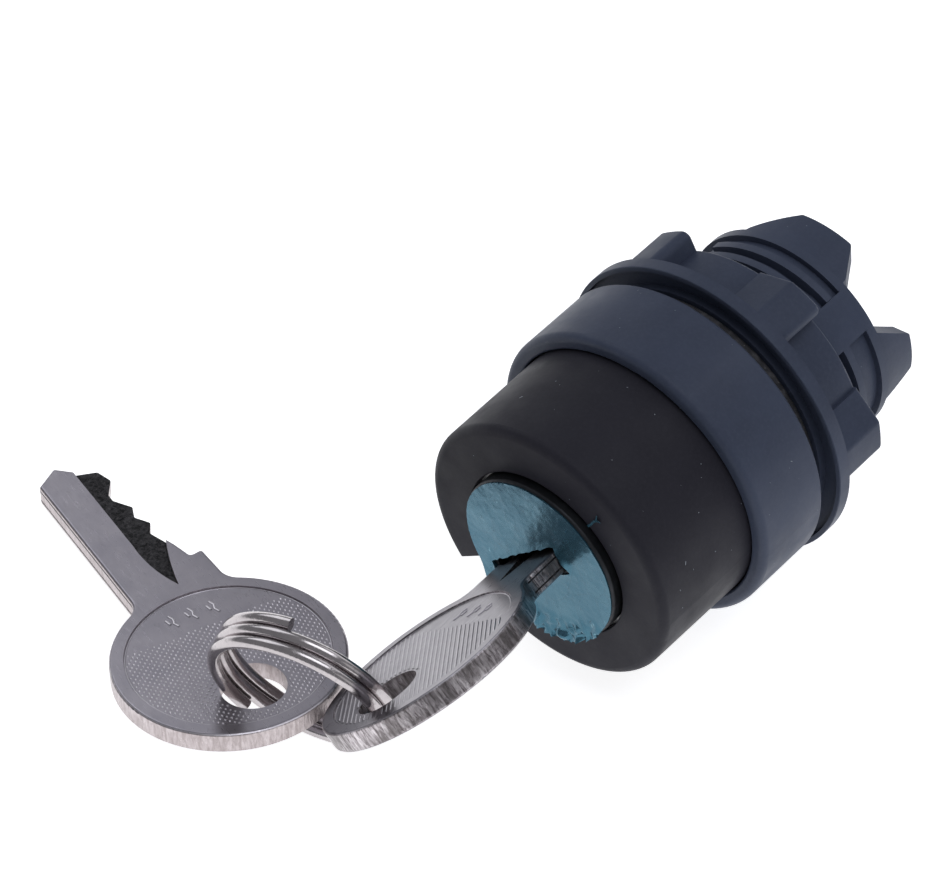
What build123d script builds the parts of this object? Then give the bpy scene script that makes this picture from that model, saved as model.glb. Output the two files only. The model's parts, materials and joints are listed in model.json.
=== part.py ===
"""Key selector head for a 22 mm panel hole, with its two keys on a split ring.

The lock axis is Y: the front looks along -Y and the prongs point along +Y.
+Z is up from the surface that the switch lies on.
The origin is where the lock axis crosses the rear face of the bezel.
Lengths are in millimetres and angles in degrees.
"""

from build123d import *
import os
from math import asin, atan, cos, degrees, pi, radians, sin

# ---- driving dimensions -------------------------------------------------------
BEZEL_R = 14.5
BEZEL_BORE_R = 13.1
BEZEL_DEPTH = 8.0
WEB_BORE_R = 11.25
WEB_DEPTH = 1.5

HOUSING_R = 13.0
HOUSING_FRONT = -19.4
LIP_R = 8.35
SPIGOT_R = 10.4
SPIGOT_END = 0.6

FLANGE_R = 12.9
FLANGE_FRONT = -3.0
SHANK_R = 11.1
SHANK_END = 1.85
BARREL_BORE_R = 8.6
SOCKET_R = 10.55
THREAD_ROOT_R = 10.0
THREAD_CREST_R = 10.8
THREAD_PITCH = 1.6
THREAD_START = 4.15
THREAD_TURNS = 6
RIDGE_ROOT_SINK = 0.4
RIDGE_OVERREACH = 0.2
RIDGE_CREST = 0.72
RIDGE_BASE = 1.05
SEGMENT_ARC = 70.0
LAND_ARC = 22.0
LAND_ANGLE = 50.0
COLLAR_R = 10.6
COLLAR_START = 13.55
LAND_END = 13.75
RIM = 14.5
PRONG_SHOULDER = 15.2
PRONG_TIP = 18.2
PRONG_R = 10.35
PRONG_INNER_R = 8.7
PRONG_ROOT = RIM - 0.6
PRONG_CORNER_R = 0.35
WIDE_BASE = (62.0, 130.0)
WIDE_SHOULDER = (63.5, 125.0)
WIDE_TIP = (74.0, 104.0)
NARROW_BASE = (-15.0, 36.0)
NARROW_SHOULDER = (-13.0, 31.0)
NARROW_TIP = (-3.0, 19.5)

GASKET_R = 12.5
NUT_FLANGE_R = 14.95
NUT_BODY_R = 12.6
NUT_BORE_R = 10.9
NUT_FRONT = 1.95
NUT_FLANGE_END = 3.25
NUT_DISH_INNER_R = 12.7
NUT_DISH_OUTER_R = 14.5
NUT_DISH_DEPTH = 0.8
NUT_REAR = 8.3
LUG_R = 14.6
LUG_ARC = 27.0
LUG_COUNT = 6
LUG_ANGLE = 14.0

LOCK_FACE = -20.3
DISC_R = 8.15
DISC_REAR = -18.8
FILM_THICKNESS = 0.1
PLUG_R = 6.4
RUNNING_GAP = 0.05
SHELL_R = 9.2
SHELL_FRONT = -18.4
SHELL_REAR = 0.6
TAIL_SIDE = 5.0
TAIL_END = 7.8

WAFER_COUNT = 5
WAFER_PITCH = 2.4
WAFER_FIRST = -16.2
WAFER_THICKNESS = 1.0
WAFER_WIDTH = 6.9

BULKHEAD_FRONT = 2.4
BULKHEAD_REAR = 4.6
DETENT_RADIUS = 7.4
DETENT_ANGLE = 90.0
TURN = 90.0
DRUM_R = 8.2
DRUM_FRONT = 4.8
DRUM_DISC_END = 6.2
CAM_MID = 7.85
PUSHER_RADIUS = 6.4
PUSHER_TRAVEL = 2.5
GUIDE_FRONT = 12.2
GUIDE_REAR = 13.6

KEY_CLOCK = 46.5
KEY_DROOP = 1.3
KEY_THICKNESS = 2.0
BOW_R = 10.25
BOW_FROM_FACE = 13.9
KEY_SIDE_SHIFT = -1.2
KEY_MID_OFFSET = -0.5
HOLE_R = 2.9
HOLE_SHIFT = 4.55
SHOULDER = 13.7
BLADE_BACK = 4.1

WIRE_R = 0.57
RING_R = 7.76
RING_PITCH = 1.18
RING_TURNS = 2.36
RING_START = -45.2
RING_CENTRE = (-7.84, -41.41, -3.22)
RING_AXIS = (-0.263, 0.942, 0.206)

SPARE_CENTRE = (-17.31, -40.66, -8.93)
SPARE_NORMAL = (-0.136, 0.121, 0.983)
SPARE_ALONG = (-0.933, 0.318, -0.168)

os.makedirs("parts", exist_ok=True)


# ---- planes and helpers ---------------------------------------------------------
def across(y):
    """A plane across the lock axis at y, seen from the front: local x is X and local y is Z."""
    return Plane(origin=(0, y, 0), x_dir=(1, 0, 0), z_dir=(0, -1, 0))


def radial(angle):
    """Unit vector from the lock axis outward at a clock angle, counted from +X towards +Z."""
    return Vector(cos(radians(angle)), 0, sin(radians(angle)))


def polar(radius, angle):
    """Local coordinates of a point on an across() plane."""
    return (radius * cos(radians(angle)), radius * sin(radians(angle)))


def turned(points):
    """A solid of revolution about the lock axis, from its (radius, y) outline."""
    with BuildPart() as body:
        with BuildSketch(Plane.XY):
            with BuildLine():
                Polyline(*points, close=True)
            make_face()
        revolve(axis=Axis.Y)
    return body.part


def tube(inner, outer, front, rear):
    """The (radius, y) outline of a plain tube."""
    return [(inner, front), (outer, front), (outer, rear), (inner, rear)]


def circles_at(part, radius, y):
    """The circular edges of one radius that lie at one y."""
    found = part.edges().filter_by(GeomType.CIRCLE)
    return [e for e in found if abs(e.radius - radius) < 0.02 and abs(e.center().Y - y) < 0.02]


def reach_of(edge):
    """How far the middle of an edge lies from the lock axis."""
    return Vector(edge.center().X, 0, edge.center().Z).length


def save(body, name):
    """Label a finished piece and write it to its own file."""
    body.part.label = name
    export_step(body.part, f"parts/{name}.step")


# the key's plane inside the lock: SLOT_DIR lies along the keyway, SLOT_NORMAL across it
SLOT_DIR = radial(KEY_CLOCK)
SLOT_NORMAL = radial(KEY_CLOCK + 90)


def slot_plane_at(y):
    """A plane across the lock axis whose local x runs along the keyway."""
    return Plane(origin=(0, y, 0), x_dir=SLOT_DIR, z_dir=(0, -1, 0))


# keyway outline in that plane, wide enough for the blade and its droop
KEYWAY_LOW = -4.75
KEYWAY_HIGH = 3.15
KEYWAY_MOUTH_LOW = -5.9
KEYWAY_MID = -0.31
KEYWAY_WIDTH = 2.62
KEYWAY_END = -2.4
MOUTH_DEPTH = 1.2


# ---- bezel ring -------------------------------------------------------------------
bezel_outline = turned(
    [
        (WEB_BORE_R, 0),
        (BEZEL_R, 0),
        (BEZEL_R, -BEZEL_DEPTH),
        (BEZEL_BORE_R, -BEZEL_DEPTH),
        (BEZEL_BORE_R, -WEB_DEPTH),
        (WEB_BORE_R, -WEB_DEPTH),
    ]
)
with BuildPart() as bezel_ring:
    add(bezel_outline)
    fillet(circles_at(bezel_ring.part, BEZEL_R, -BEZEL_DEPTH), radius=0.7)
    fillet(circles_at(bezel_ring.part, BEZEL_BORE_R, -BEZEL_DEPTH), radius=0.2)
    fillet(circles_at(bezel_ring.part, BEZEL_R, 0), radius=0.25)
save(bezel_ring, "bezel_ring")


# ---- lock housing -------------------------------------------------------------------
SEAL_GROOVE_R = 9.9
SEAL_Y = -1.0
SEAL_R = 0.26
SEAL_GROOVE_HALF = 0.4
NOTCH_FROM = 220.0
NOTCH_TO = 250.0
NOTCH_DEPTH = 3.4

housing_outline = turned(
    [
        (LIP_R, HOUSING_FRONT),
        (HOUSING_R - 0.1, HOUSING_FRONT),
        (HOUSING_R, FLANGE_FRONT - 0.01),
        (SPIGOT_R, FLANGE_FRONT - 0.01),
        (SPIGOT_R, SEAL_Y - SEAL_GROOVE_HALF),
        (SEAL_GROOVE_R, SEAL_Y - SEAL_GROOVE_HALF),
        (SEAL_GROOVE_R, SEAL_Y + SEAL_GROOVE_HALF),
        (SPIGOT_R, SEAL_Y + SEAL_GROOVE_HALF),
        (SPIGOT_R, SPIGOT_END),
        (SHELL_R + 0.1, SPIGOT_END),
        (SHELL_R + 0.1, SHELL_FRONT - 0.1),
        (LIP_R, SHELL_FRONT - 0.1),
    ]
)
with BuildPart() as lock_housing:
    add(housing_outline)
    fillet(circles_at(lock_housing.part, HOUSING_R - 0.1, HOUSING_FRONT), radius=0.8)
    fillet(circles_at(lock_housing.part, LIP_R, HOUSING_FRONT), radius=0.15)
    with BuildSketch(across(HOUSING_FRONT + NOTCH_DEPTH)):
        with BuildLine():
            notch_reach = HOUSING_R + 4
            Polyline(
                polar(6.0, NOTCH_FROM),
                polar(notch_reach, NOTCH_FROM),
                polar(notch_reach, NOTCH_TO),
                polar(6.0, NOTCH_TO),
                close=True,
            )
        make_face()
    extrude(amount=NOTCH_DEPTH + 1, mode=Mode.SUBTRACT)
save(lock_housing, "lock_housing")

with BuildPart() as housing_seal:
    with BuildSketch(Plane.XY):
        with Locations((SEAL_GROOVE_R + 0.02 + SEAL_R, SEAL_Y)):
            Circle(SEAL_R)
    revolve(axis=Axis.Y)
save(housing_seal, "housing_seal")


# ---- threaded barrel with its prongs --------------------------------------------------
def thread_segment(middle):
    """The ridges of one thread segment, leaning at the thread's lead angle."""
    lead = degrees(atan(THREAD_PITCH / (2 * pi * THREAD_CREST_R)))
    tangent = radial(middle + 90)
    lean = Vector(0, 1, 0) * cos(radians(lead)) + tangent * sin(radians(lead))
    start_dir = radial(middle).rotate(Axis((0, 0, 0), lean), -SEGMENT_ARC / 2)
    start = Plane(origin=(0, 0, 0), x_dir=start_dir, z_dir=start_dir.cross(lean))
    turn_offset = -THREAD_PITCH * (middle - LAND_ANGLE) / 360
    with BuildPart() as ridges:
        with BuildSketch(start):
            for turn in range(THREAD_TURNS):
                y = THREAD_START + turn_offset + turn * THREAD_PITCH
                with BuildLine():
                    Polyline(
                        (THREAD_ROOT_R - RIDGE_ROOT_SINK, y - RIDGE_BASE / 2),
                        (THREAD_CREST_R + RIDGE_OVERREACH, y - RIDGE_CREST / 2),
                        (THREAD_CREST_R + RIDGE_OVERREACH, y + RIDGE_CREST / 2),
                        (THREAD_ROOT_R - RIDGE_ROOT_SINK, y + RIDGE_BASE / 2),
                        close=True,
                    )
                make_face()
        revolve(axis=Axis((0, 0, 0), lean), revolution_arc=SEGMENT_ARC)
        with BuildSketch(across(RIM)):
            Circle(THREAD_CREST_R)
        extrude(amount=RIM, mode=Mode.INTERSECT)
    return ridges.part


def prong(base, shoulder, tip, turn):
    """A prong on the barrel's rim, from (low, high) clock angles at its base, shoulder and tip."""
    middle = (base[0] + base[1]) / 2
    out = radial(middle + turn)
    face = Plane(origin=out * (PRONG_INNER_R - 3), x_dir=(0, 1, 0), z_dir=out)

    def corner(y, angle):
        return (y, PRONG_R * sin(radians(angle - middle)))

    with BuildPart() as blank:
        with BuildSketch(face):
            with BuildLine():
                Polyline(
                    corner(PRONG_ROOT, base[0]),
                    corner(PRONG_SHOULDER, shoulder[0]),
                    corner(PRONG_TIP, tip[0]),
                    corner(PRONG_TIP, tip[1]),
                    corner(PRONG_SHOULDER, shoulder[1]),
                    corner(PRONG_ROOT, base[1]),
                    close=True,
                )
            make_face()
        extrude(amount=8)
        fillet(blank.edges().filter_by(Axis((0, 0, 0), out)), radius=PRONG_CORNER_R)
        with BuildSketch(across(PRONG_TIP + 1)):
            Circle(PRONG_R)
            Circle(PRONG_INNER_R, mode=Mode.SUBTRACT)
        extrude(amount=6, mode=Mode.INTERSECT)
    return blank.part


thread_parts = [thread_segment(LAND_ANGLE + 45 + 90 * i) for i in range(4)]
prong_parts = []
for half_turn in (0, 180):
    prong_parts.append(prong(WIDE_BASE, WIDE_SHOULDER, WIDE_TIP, half_turn))
    prong_parts.append(prong(NARROW_BASE, NARROW_SHOULDER, NARROW_TIP, half_turn))

BULKHEAD_BORE_R = 3.9
DETENT_HOLE_R = 0.85

barrel_outline = turned(
    [
        (SOCKET_R, FLANGE_FRONT),
        (FLANGE_R, FLANGE_FRONT),
        (FLANGE_R, -WEB_DEPTH - 0.01),
        (SHANK_R, -WEB_DEPTH - 0.01),
        (SHANK_R, SHANK_END),
        (THREAD_ROOT_R, SHANK_END + 0.5),
        (THREAD_ROOT_R, COLLAR_START),
        (COLLAR_R, COLLAR_START),
        (COLLAR_R, RIM),
        (BARREL_BORE_R, RIM),
        (BARREL_BORE_R, BULKHEAD_REAR),
        (BULKHEAD_BORE_R, BULKHEAD_REAR),
        (BULKHEAD_BORE_R, BULKHEAD_FRONT),
        (BARREL_BORE_R, BULKHEAD_FRONT),
        (BARREL_BORE_R, SPIGOT_END + 0.2),
        (SOCKET_R, SPIGOT_END + 0.2),
    ]
)
with BuildPart() as body_barrel:
    add(barrel_outline)
    for thread_part in thread_parts:
        add(thread_part)
    for land_middle in (LAND_ANGLE, LAND_ANGLE + 180):
        with BuildSketch(across(LAND_END)):
            with BuildLine():
                land_root = THREAD_ROOT_R - RIDGE_ROOT_SINK
                land_from = land_middle - LAND_ARC / 2
                land_to = land_middle + LAND_ARC / 2
                Line(polar(land_root, land_from), polar(THREAD_CREST_R, land_from))
                CenterArc((0, 0), THREAD_CREST_R, land_from, LAND_ARC)
                Line(polar(THREAD_CREST_R, land_to), polar(land_root, land_to))
                Line(polar(land_root, land_to), polar(land_root, land_from))
            make_face()
        extrude(amount=LAND_END - SHANK_END)
    for prong_part in prong_parts:
        add(prong_part)
    with BuildSketch(across(BULKHEAD_REAR + 0.5)):
        with Locations(polar(DETENT_RADIUS, DETENT_ANGLE)):
            Circle(DETENT_HOLE_R)
    extrude(amount=BULKHEAD_REAR - BULKHEAD_FRONT + 1, mode=Mode.SUBTRACT)
save(body_barrel, "body_barrel")


# ---- gasket and fixing nut -------------------------------------------------------------
with BuildPart() as panel_gasket:
    add(turned(tube(SHANK_R + 0.1, GASKET_R, 0, SHANK_END)))
    fillet(circles_at(panel_gasket.part, GASKET_R, 0), radius=0.3)
    fillet(circles_at(panel_gasket.part, GASKET_R, SHANK_END), radius=0.3)
save(panel_gasket, "panel_gasket")

nut_outline = turned(
    [
        (NUT_BORE_R + 0.5, NUT_FRONT),
        (NUT_DISH_INNER_R, NUT_FRONT),
        (NUT_DISH_INNER_R, NUT_FRONT + NUT_DISH_DEPTH),
        (NUT_DISH_OUTER_R, NUT_FRONT + NUT_DISH_DEPTH),
        (NUT_DISH_OUTER_R, NUT_FRONT),
        (NUT_FLANGE_R, NUT_FRONT),
        (NUT_FLANGE_R, NUT_FLANGE_END),
        (NUT_BODY_R, NUT_FLANGE_END),
        (NUT_BODY_R, NUT_REAR),
        (NUT_BORE_R + 0.5, NUT_REAR),
        (NUT_BORE_R, NUT_REAR - 0.5),
        (NUT_BORE_R, NUT_FRONT + 0.5),
    ]
)
NUT_GROOVES = 3
NUT_GROOVE_HALF = 0.6
NUT_GROOVE_DEPTH = 0.45
LUG_FILLET = 0.8
LUG_RAMP = 13.0
LUG_FOOT = 0.35


def nut_lug(middle):
    """One grip lug on the nut's flange: a step at one end and a long ramp at the other."""
    step = middle - LUG_ARC / 2
    crown = middle + LUG_ARC / 2 - LUG_RAMP
    foot = middle + LUG_ARC / 2
    root_r = NUT_BODY_R - 0.8
    with BuildPart() as lug:
        with BuildSketch(across(NUT_REAR)):
            with BuildLine():
                Line(polar(root_r, step), polar(LUG_R, step))
                CenterArc((0, 0), LUG_R, step, crown - step)
                Line(polar(LUG_R, crown), polar(NUT_BODY_R + LUG_FOOT, foot))
                Line(polar(NUT_BODY_R + LUG_FOOT, foot), polar(root_r, foot))
                Line(polar(root_r, foot), polar(root_r, step))
            make_face()
        extrude(amount=NUT_REAR - NUT_FLANGE_END + 0.3)
        long_edges = lug.edges().filter_by(Axis.Y)
        fillet([e for e in long_edges if reach_of(e) > LUG_R - 0.1], radius=LUG_FILLET)
        rear_edges = lug.edges().group_by(Axis.Y)[-1]
        fillet([e for e in rear_edges if reach_of(e) > NUT_BODY_R + 1], radius=LUG_FILLET * 0.4)
    return lug.part


with BuildPart() as fixing_nut:
    add(nut_outline)
    fillet(circles_at(fixing_nut.part, NUT_BODY_R, NUT_REAR), radius=0.3)
    for lug_index in range(LUG_COUNT):
        add(nut_lug(LUG_ANGLE + 360 / LUG_COUNT * lug_index))
    fillet(circles_at(fixing_nut.part, NUT_FLANGE_R, NUT_FRONT), radius=0.1)
    with BuildSketch(Plane.XY):
        for groove in range(NUT_GROOVES):
            groove_y = NUT_FRONT + 1.5 + groove * THREAD_PITCH
            with BuildLine():
                Polyline(
                    (NUT_BORE_R - 0.2, groove_y - NUT_GROOVE_HALF),
                    (NUT_BORE_R + NUT_GROOVE_DEPTH, groove_y),
                    (NUT_BORE_R - 0.2, groove_y + NUT_GROOVE_HALF),
                    close=True,
                )
            make_face()
    revolve(axis=Axis.Y, mode=Mode.SUBTRACT)
save(fixing_nut, "fixing_nut")


# ---- lock cylinder shell -----------------------------------------------------------------
SHELL_RECESS_R = 7.7
SHELL_RECESS_END = -17.4
CHANNEL_R = 7.6
shell_outline = turned(
    [
        (SHELL_RECESS_R, SHELL_FRONT),
        (SHELL_R, SHELL_FRONT),
        (SHELL_R, SHELL_REAR),
        (PLUG_R + RUNNING_GAP, SHELL_REAR),
        (PLUG_R + RUNNING_GAP, SHELL_RECESS_END),
        (SHELL_RECESS_R, SHELL_RECESS_END),
    ]
)
channel_rear = WAFER_FIRST + WAFER_PITCH * (WAFER_COUNT - 1) + 1.2
channel_front = WAFER_FIRST - 0.8
with BuildPart() as lock_cylinder_shell:
    add(shell_outline)
    with BuildSketch(slot_plane_at(channel_rear)):
        Rectangle(2 * CHANNEL_R, WAFER_WIDTH + 0.4)
    extrude(amount=channel_rear - channel_front, mode=Mode.SUBTRACT)
save(lock_cylinder_shell, "lock_cylinder_shell")


# ---- lock plug ---------------------------------------------------------------------------
GROOVE_R = 4.6
CLIP_FRONT = SHELL_REAR + 0.04
CLIP_REAR = CLIP_FRONT + 0.7
TAIL_COLLAR_R = 5.4
TAIL_COLLAR_END = 2.1
SCREW_CORE_R = 1.25
SCREW_HOLE_FRONT = 2.6
SPRING_POCKET_NEAR = 3.4
SPRING_POCKET_FAR = 5.0
SPRING_POCKET_FROM = -2.4
SPRING_POCKET_TO = 1.7

plug_outline = turned(
    [
        (0, LOCK_FACE),
        (DISC_R, LOCK_FACE),
        (DISC_R, DISC_REAR),
        (PLUG_R, DISC_REAR),
        (PLUG_R, SHELL_REAR + 0.02),
        (GROOVE_R, SHELL_REAR + 0.02),
        (GROOVE_R, CLIP_REAR + 0.04),
        (TAIL_COLLAR_R, CLIP_REAR + 0.04),
        (TAIL_COLLAR_R, TAIL_COLLAR_END),
        (0, TAIL_COLLAR_END),
    ]
)
wafer_ys = [WAFER_FIRST + WAFER_PITCH * i for i in range(WAFER_COUNT)]
pocket_middle = ((SPRING_POCKET_FROM + SPRING_POCKET_TO) / 2, (SPRING_POCKET_NEAR + SPRING_POCKET_FAR) / 2)
pocket_size = (SPRING_POCKET_TO - SPRING_POCKET_FROM, SPRING_POCKET_FAR - SPRING_POCKET_NEAR)
with BuildPart() as lock_plug:
    add(plug_outline)
    fillet(circles_at(lock_plug.part, DISC_R, LOCK_FACE), radius=0.35)
    with BuildSketch(slot_plane_at(TAIL_END)):
        Rectangle(TAIL_SIDE, TAIL_SIDE)
    extrude(amount=TAIL_END - TAIL_COLLAR_END + 0.2)
    with BuildSketch(slot_plane_at(KEYWAY_END)):
        with Locations(((KEYWAY_LOW + KEYWAY_HIGH) / 2, KEYWAY_MID)):
            Rectangle(KEYWAY_HIGH - KEYWAY_LOW, KEYWAY_WIDTH)
    extrude(amount=KEYWAY_END - LOCK_FACE + 1, mode=Mode.SUBTRACT)
    with BuildSketch(slot_plane_at(LOCK_FACE + MOUTH_DEPTH)):
        with Locations(((KEYWAY_MOUTH_LOW + KEYWAY_HIGH) / 2, KEYWAY_MID)):
            Rectangle(KEYWAY_HIGH - KEYWAY_MOUTH_LOW, KEYWAY_WIDTH)
    extrude(amount=MOUTH_DEPTH + 1, mode=Mode.SUBTRACT)
    slot_half = WAFER_THICKNESS / 2 + 0.04
    for wafer_y in wafer_ys:
        with BuildSketch(slot_plane_at(wafer_y + slot_half)):
            Rectangle(16, WAFER_WIDTH + 0.08)
            with Locations(pocket_middle):
                Rectangle(*pocket_size)
        extrude(amount=2 * slot_half, mode=Mode.SUBTRACT)
    with BuildSketch(across(TAIL_END + 0.5)):
        Circle(SCREW_CORE_R)
    extrude(amount=TAIL_END + 0.5 - SCREW_HOLE_FRONT, mode=Mode.SUBTRACT)
save(lock_plug, "lock_plug")


# ---- film on the lock face -------------------------------------------------------------------
with BuildPart() as face_film:
    with BuildSketch(across(LOCK_FACE)):
        Circle(DISC_R - 0.35)
    extrude(amount=FILM_THICKNESS)
    with BuildSketch(slot_plane_at(LOCK_FACE + 0.1)):
        with Locations(((KEYWAY_MOUTH_LOW + KEYWAY_HIGH) / 2, KEYWAY_MID)):
            Rectangle(KEYWAY_HIGH - KEYWAY_MOUTH_LOW, KEYWAY_WIDTH)
    extrude(amount=1, mode=Mode.SUBTRACT)
save(face_film, "face_film")


# ---- wafers and their springs -------------------------------------------------------------------
EAR_FROM = -2.25
EAR_TO = -1.65
EAR_HEIGHT = 1.6
WAFER_SPRING_OFFSET = 4.25
WAFER_SPRING_R = 0.36
WAFER_SPRING_WIRE = 0.09
WAFER_SPRING_TURNS = 5
with BuildPart() as wafer_tumblers:
    for wafer_y in wafer_ys:
        with BuildSketch(slot_plane_at(wafer_y + WAFER_THICKNESS / 2)):
            Rectangle(14, WAFER_WIDTH)
            Circle(PLUG_R - 0.06, mode=Mode.INTERSECT)
            with Locations(((EAR_FROM + EAR_TO) / 2, WAFER_WIDTH / 2 + 0.6)):
                Rectangle(EAR_TO - EAR_FROM, EAR_HEIGHT)
            with Locations(((KEYWAY_LOW + KEYWAY_HIGH) / 2, KEYWAY_MID)):
                Rectangle(KEYWAY_HIGH - KEYWAY_LOW + 0.2, KEYWAY_WIDTH + 0.2, mode=Mode.SUBTRACT)
        extrude(amount=WAFER_THICKNESS)
save(wafer_tumblers, "wafer_tumblers")


def coil(start, direction, length, radius, wire, turns):
    """A helical spring of round wire from start along direction."""
    axis_dir = Vector(*direction).normalized()
    begin = Vector(*start) + axis_dir * wire
    with BuildPart() as spring:
        with BuildLine():
            path = Helix(
                pitch=(length - 2 * wire) / turns,
                height=length - 2 * wire,
                radius=radius,
                center=begin,
                direction=axis_dir,
            )
        with BuildSketch(Plane(origin=path @ 0, z_dir=path % 0)):
            Circle(wire)
        sweep(path=path, is_frenet=True)
    return spring.part


with BuildPart() as wafer_springs:
    for wafer_y in wafer_ys:
        begin = SLOT_DIR * (EAR_TO + 0.03) + SLOT_NORMAL * WAFER_SPRING_OFFSET + Vector(0, wafer_y, 0)
        room = SPRING_POCKET_TO - EAR_TO - 0.06
        spring_size = (WAFER_SPRING_R, WAFER_SPRING_WIRE, WAFER_SPRING_TURNS)
        add(coil(tuple(begin), tuple(SLOT_DIR), room, *spring_size))
save(wafer_springs, "wafer_springs")


# ---- seal and clip of the plug -------------------------------------------------------------------
PLUG_SEAL_R = 0.55
with BuildPart() as plug_seal:
    with BuildSketch(Plane.XY):
        with Locations(((PLUG_R + SHELL_RECESS_R) / 2, (DISC_REAR + SHELL_RECESS_END) / 2)):
            Circle(PLUG_SEAL_R)
    revolve(axis=Axis.Y)
save(plug_seal, "plug_seal")

CLIP_R = 6.6
CLIP_GAP = 70.0
with BuildPart() as plug_retaining_clip:
    with BuildSketch(across(CLIP_REAR)):
        Circle(CLIP_R)
        Circle(GROOVE_R + 0.05, mode=Mode.SUBTRACT)
        with BuildLine():
            Polyline((0, 0), polar(12, 270 - CLIP_GAP / 2), polar(12, 270 + CLIP_GAP / 2), close=True)
        make_face(mode=Mode.SUBTRACT)
    extrude(amount=CLIP_REAR - CLIP_FRONT)
save(plug_retaining_clip, "plug_retaining_clip")


# ---- cam drum with two ramps -------------------------------------------------------------------
HUB_R = 4.4
HUB_REAR = 7.6
RAMP_INNER_R = 4.9
RAMP_OVERRUN = 18.0
RAMP_HEIGHT = 4.0
DIMPLE_R = 0.85
DIMPLE_SINK = 0.35
cam_slope = degrees(asin(PUSHER_TRAVEL / 2 / sin(radians(TURN / 2)) / PUSHER_RADIUS))


def cam_ramp(first):
    """A ramp over one pusher's share of the turn, rising away from clock angle first."""
    middle = first + TURN / 2
    uphill = radial(middle + 90)
    slope_normal = Vector(0, 1, 0) * cos(radians(cam_slope)) - uphill * sin(radians(cam_slope))
    cut = Plane(origin=(0, CAM_MID, 0), x_dir=radial(middle), z_dir=slope_normal)
    with BuildPart() as ramp:
        with BuildSketch(across(CAM_MID + RAMP_HEIGHT)):
            with BuildLine():
                ramp_from = first - RAMP_OVERRUN
                ramp_to = first + TURN + RAMP_OVERRUN
                inner, outer = RAMP_INNER_R, DRUM_R
                CenterArc((0, 0), outer, ramp_from, ramp_to - ramp_from)
                Line(polar(outer, ramp_to), polar(inner, ramp_to))
                CenterArc((0, 0), inner, ramp_from, ramp_to - ramp_from)
                Line(polar(inner, ramp_from), polar(outer, ramp_from))
            make_face()
        extrude(amount=CAM_MID + RAMP_HEIGHT - DRUM_FRONT - 0.5)
        split(bisect_by=cut, keep=Keep.BOTTOM)
    return ramp.part


ramps = [cam_ramp(0), cam_ramp(180)]
drum_outline = turned(
    [
        (0, DRUM_FRONT),
        (DRUM_R, DRUM_FRONT),
        (DRUM_R, DRUM_DISC_END),
        (HUB_R, DRUM_DISC_END),
        (HUB_R, HUB_REAR),
        (0, HUB_REAR),
    ]
)
with BuildPart() as cam_drum:
    add(drum_outline)
    for ramp_part in ramps:
        add(ramp_part)
    with BuildSketch(slot_plane_at(HUB_REAR + 0.5)):
        Rectangle(TAIL_SIDE + 0.04, TAIL_SIDE + 0.04)
    extrude(amount=HUB_REAR - DRUM_FRONT + 1, mode=Mode.SUBTRACT)
    for stop in (DETENT_ANGLE, DETENT_ANGLE + TURN):
        dimple = Plane(origin=radial(stop) * DETENT_RADIUS + Vector(0, DRUM_FRONT - DIMPLE_SINK, 0))
        with Locations(dimple):
            Sphere(DIMPLE_R, mode=Mode.SUBTRACT)
save(cam_drum, "cam_drum")

SCREW_HEAD_R = 3.1
SCREW_HEAD_REAR = 9.9
SCREW_LENGTH = 4.8
CROSS_LENGTH = 3.6
CROSS_WIDTH = 0.6
CROSS_DEPTH = 1.1
with BuildPart() as cam_screw:
    with BuildSketch(across(SCREW_HEAD_REAR)):
        Circle(SCREW_HEAD_R)
    extrude(amount=SCREW_HEAD_REAR - TAIL_END - 0.02)
    fillet(cam_screw.edges().group_by(Axis.Y)[-1], radius=0.5)
    with BuildSketch(across(TAIL_END + 0.1)):
        Circle(SCREW_CORE_R - 0.02)
    extrude(amount=SCREW_LENGTH)
    with BuildSketch(across(SCREW_HEAD_REAR)):
        Rectangle(CROSS_WIDTH, CROSS_LENGTH)
        Rectangle(CROSS_LENGTH, CROSS_WIDTH)
    extrude(amount=CROSS_DEPTH, mode=Mode.SUBTRACT)
save(cam_screw, "cam_screw")


# ---- detent ------------------------------------------------------------------------------------
PLUNGER_R = 0.8
PLUNGER_FRONT = 2.9
DETENT_SPRING_R = 0.55
DETENT_SPRING_WIRE = 0.1
DETENT_SPRING_TURNS = 4
detent_x, detent_z = polar(DETENT_RADIUS, DETENT_ANGLE)
with BuildPart() as detent_plunger:
    with BuildSketch(across(DRUM_FRONT - 0.03)):
        with Locations((detent_x, detent_z)):
            Circle(PLUNGER_R)
    extrude(amount=DRUM_FRONT - 0.03 - PLUNGER_FRONT)
    fillet(detent_plunger.edges().group_by(Axis.Y)[-1], radius=0.55)
save(detent_plunger, "detent_plunger")

with BuildPart() as detent_spring:
    detent_from = (detent_x, SHELL_REAR + 0.1, detent_z)
    room = PLUNGER_FRONT - SHELL_REAR - 0.2
    spring_size = (DETENT_SPRING_R, DETENT_SPRING_WIRE, DETENT_SPRING_TURNS)
    add(coil(detent_from, (0, 1, 0), room, *spring_size))
save(detent_spring, "detent_spring")


# ---- pushers, their springs and the guide ---------------------------------------------------------
FOOT_CLEARANCE = 0.3
FOOT_TIP = CAM_MID - PUSHER_TRAVEL / 2 + FOOT_CLEARANCE
FOOT_REAR = 8.5
FOOT_R = 1.3
FOOT_WIDTH = 1.4
ROD_END = 14.4
ROD_SIDE = 2.0
RETURN_SPRING_R = 1.62
RETURN_SPRING_WIRE = 0.14
RETURN_SPRING_TURNS = 4
GUIDE_HOLE_R = 2.2
ROD_GAP = 0.08


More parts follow.
